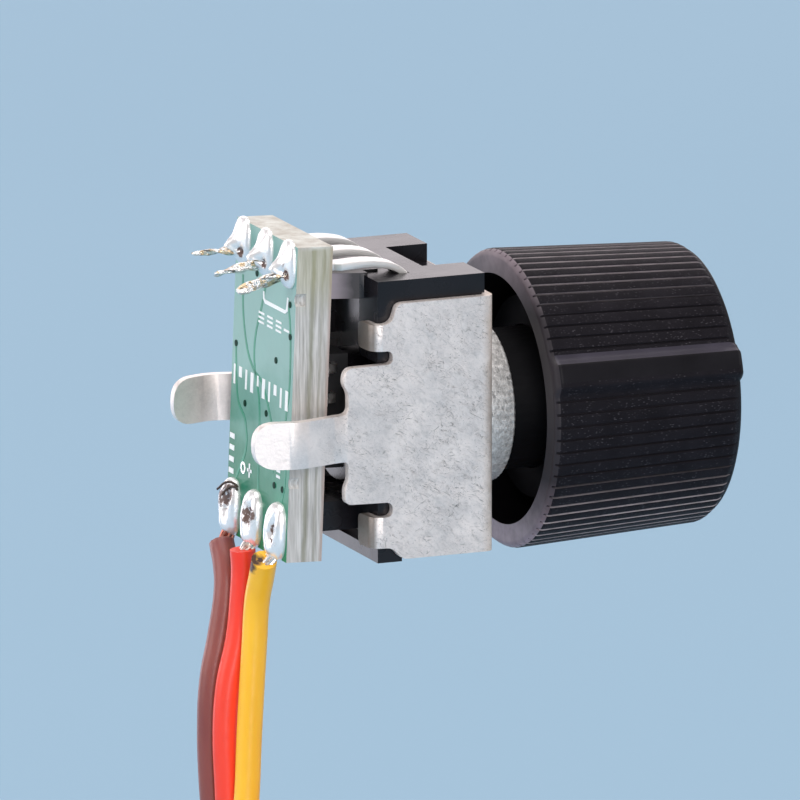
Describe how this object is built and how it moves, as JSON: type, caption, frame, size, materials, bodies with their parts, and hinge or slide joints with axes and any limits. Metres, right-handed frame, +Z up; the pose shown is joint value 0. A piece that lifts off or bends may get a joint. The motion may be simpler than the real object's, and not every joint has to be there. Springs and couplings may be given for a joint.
{
  "type": "rotary encoder",
  "caption": "Small rotary encoder with a fluted push-on knob, folded metal bracket with snap-in lugs, rear controller board and a wire lead ending in a pin socket.",
  "frame": {"origin": "on the shaft axis at the outer face of the bracket's front plate, where a panel bears", "axes": "+X along the shaft towards the knob, +Z up towards the terminals, +Y across the bracket away from the picture's camera"},
  "size_m": [0.0224, 0.021, 0.0641],
  "materials": {
    "tin_plate": "dull tin plate with fine scratches",
    "cast_zinc": "grainy cast metal",
    "shaft_plastic": "satin moulded",
    "terminal_metal": "bright silver plating",
    "spring_bronze": "satin",
    "solder": "bright reflowed solder with flux stains",
    "housing_plastic": "gloss moulded",
    "rotor_plastic": "satin moulded",
    "knob_plastic": "matt moulded with fine flutes",
    "board": "green solder mask, bare fibreglass edges",
    "chip": "satin moulded epoxy",
    "ceramic": "satin",
    "wire_brown": "satin insulation",
    "wire_red": "satin insulation",
    "wire_yellow": "satin insulation",
    "tie": "satin",
    "plug": "satin moulded"
  },
  "bodies": {
    "base": {"frame_bracket": "tin_plate", "bushing_collar": "cast_zinc", "housing": "housing_plastic", "detent_spring": "spring_bronze", "terminal_a": "terminal_metal", "terminal_common": "terminal_metal", "terminal_b": "terminal_metal", "circuit_board": "board", "controller_chip": "chip", "chip_capacitor": "ceramic", "chip_resistor": "chip", "terminal_solder_a": "solder", "terminal_solder_common": "solder", "terminal_solder_b": "solder", "wire_solder_brown": "solder", "wire_solder_red": "solder", "wire_solder_yellow": "solder", "lead_coil": "wire_red", "coil_tie": "tie", "plug_housing": "plug", "plug_contact_1": "spring_bronze", "plug_contact_2": "spring_bronze", "plug_contact_3": "spring_bronze", "wire_brown": "wire_brown", "wire_tail_brown": "wire_brown", "wire_red": "wire_red", "wire_tail_red": "wire_red", "wire_yellow": "wire_yellow", "wire_tail_yellow": "wire_yellow"},
    "rotor": {"shaft": "shaft_plastic", "rotor_hub": "rotor_plastic", "code_disc": "spring_bronze", "knob": "knob_plastic"}
  },
  "joints": [
    {"name": "knob_turn", "type": "hinge", "parent": "base", "child": "rotor", "pos_m": [0, 0, 0], "axis": [1, 0, 0], "continuous": true}
  ]
}
